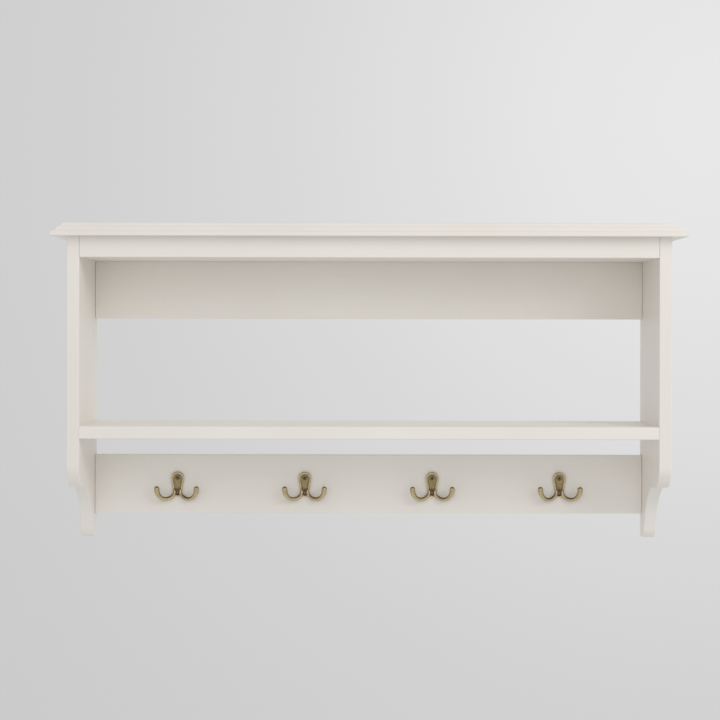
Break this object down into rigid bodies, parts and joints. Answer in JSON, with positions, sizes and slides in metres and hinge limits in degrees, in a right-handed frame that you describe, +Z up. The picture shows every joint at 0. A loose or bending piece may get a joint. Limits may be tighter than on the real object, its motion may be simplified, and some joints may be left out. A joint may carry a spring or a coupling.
{
  "type": "wall hook rack",
  "caption": "Painted wooden wall shelf with a moulded top, a middle shelf in an open back, curved bracket ends and a lower rail of brass double hooks.",
  "frame": {"origin": "on the wall plane, midway between the entry holes of the two keyhole hangers in the back of the upper rail", "axes": "+X to the right of a person facing the rack, +Y into the wall (the front faces -Y), +Z up"},
  "size_m": [1, 0.2, 0.514],
  "materials": {
    "painted_wood": "off-white satin paint over wood",
    "aged_brass": "antique brass, brushed through on raised edges",
    "screw_brass": "dark antique brass",
    "zinc_steel": "zinc plated",
    "dowel_beech": "bare beech"
  },
  "bodies": {
    "root": {"top_board": "painted_wood", "front_apron": "painted_wood", "soffit_panel": "painted_wood", "left_side_panel": "painted_wood", "right_side_panel": "painted_wood", "shelf_board": "painted_wood", "upper_back_rail": "painted_wood", "hook_rail": "painted_wood", "hook_1": "aged_brass", "hook_2": "aged_brass", "hook_3": "aged_brass", "hook_4": "aged_brass", "hook_1_screws": "screw_brass", "hook_2_screws": "screw_brass", "hook_3_screws": "screw_brass", "hook_4_screws": "screw_brass", "left_hanger_plate": "zinc_steel", "right_hanger_plate": "zinc_steel", "left_hanger_screws": "zinc_steel", "right_hanger_screws": "zinc_steel", "top_dowels": "dowel_beech", "apron_dowels": "dowel_beech", "soffit_dowels": "dowel_beech", "shelf_dowels": "dowel_beech", "upper_rail_dowels": "dowel_beech", "hook_rail_dowels": "dowel_beech"}
  },
  "joints": []
}
